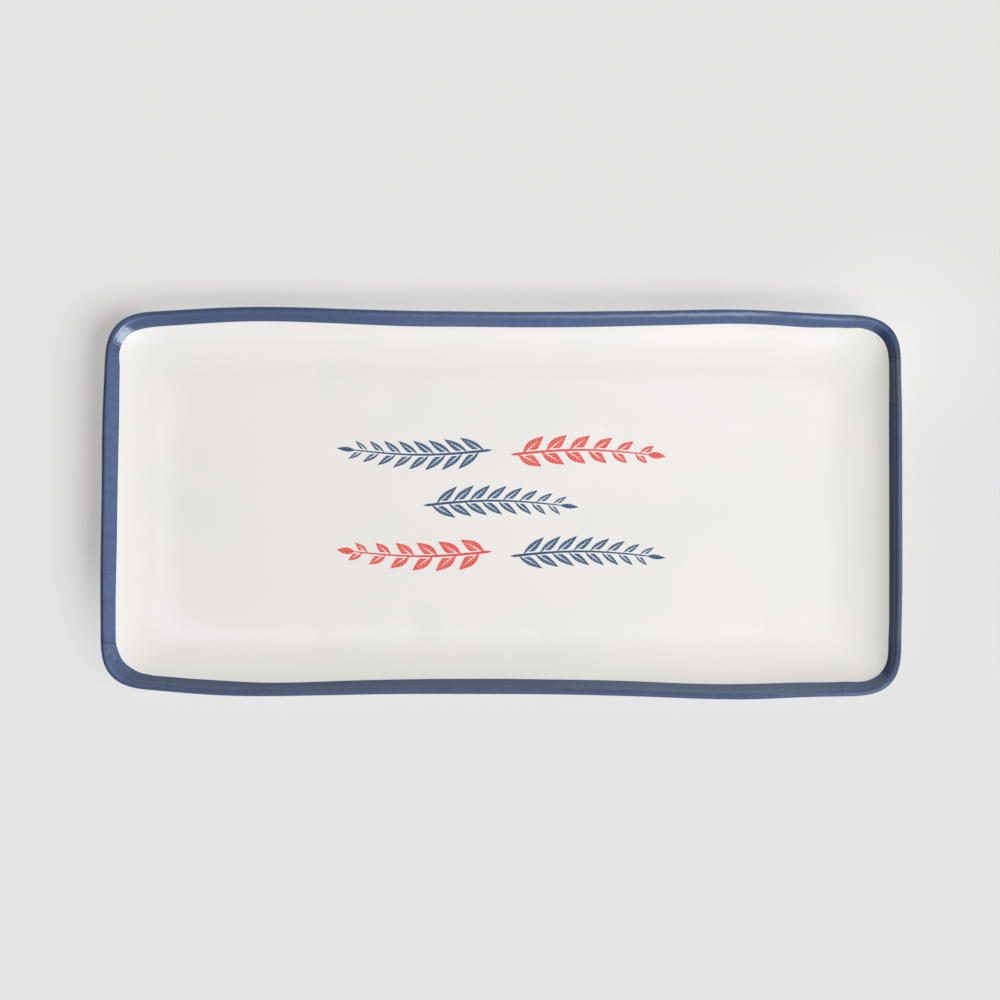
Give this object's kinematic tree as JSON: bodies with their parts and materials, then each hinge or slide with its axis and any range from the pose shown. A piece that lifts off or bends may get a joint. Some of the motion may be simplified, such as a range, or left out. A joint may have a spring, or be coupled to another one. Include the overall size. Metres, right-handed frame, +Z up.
{
  "type": "serving platter",
  "caption": "Shallow oblong serving platter with a softly waved rounded lip, a coloured border, printed sprigs on a pale floor and a foot ring underneath.",
  "frame": {"origin": "centre of the platter's length and width, on the table under the foot ring", "axes": "+X along the platter to its right end, +Y across it to its back edge, +Z up out of the dish"},
  "size_m": [0.39, 0.191, 0.018],
  "materials": {
    "body": "satin",
    "field": "satin",
    "border": "satin",
    "print_navy": "satin",
    "print_coral": "satin"
  },
  "bodies": {
    "root": {"platter_body": "body", "field_foil": "field", "border_back_right": "border", "border_back": "border", "border_back_left": "border", "border_left": "border", "border_front_left": "border", "border_front": "border", "border_front_right": "border", "border_right": "border", "sprig_back_left": "print_navy", "sprig_back_right": "print_coral", "sprig_centre": "print_navy", "sprig_front_left": "print_coral", "sprig_front_right": "print_navy"}
  },
  "joints": []
}
